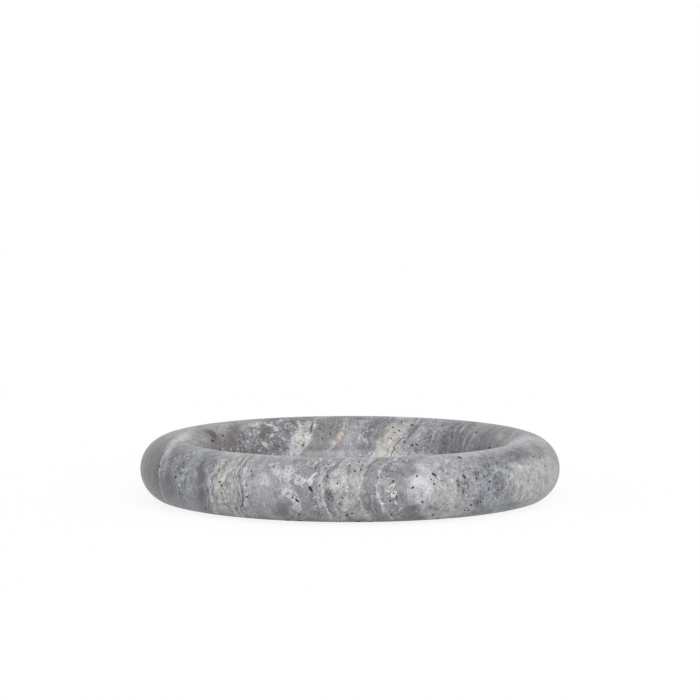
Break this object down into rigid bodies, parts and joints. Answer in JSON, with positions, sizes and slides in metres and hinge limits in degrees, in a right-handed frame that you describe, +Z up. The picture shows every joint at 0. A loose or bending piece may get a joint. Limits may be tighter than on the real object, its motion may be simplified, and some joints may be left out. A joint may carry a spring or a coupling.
{
  "type": "stone tray",
  "caption": "Low round travertine tray with a fat fully rounded rim, a flat sunk dish and felt pads under its flat base.",
  "frame": {"origin": "on the table, under the tray's centre: the middle of the four felt pads' undersides", "axes": "+Z up along the tray's axis of revolution, +Y away from the picture's camera, +X to its right"},
  "size_m": [0.2999, 0.2999, 0.0448],
  "materials": {
    "travertine": "honed grey travertine with open pores",
    "felt": "pressed dark grey felt",
    "adhesive": "translucent acrylic adhesive film"
  },
  "bodies": {
    "root": {"stone_tray": "travertine", "felt_pad_front_right": "felt", "felt_pad_back_right": "felt", "felt_pad_back_left": "felt", "felt_pad_front_left": "felt", "adhesive_disc_front_right": "adhesive", "adhesive_disc_back_right": "adhesive", "adhesive_disc_back_left": "adhesive", "adhesive_disc_front_left": "adhesive"}
  },
  "joints": []
}
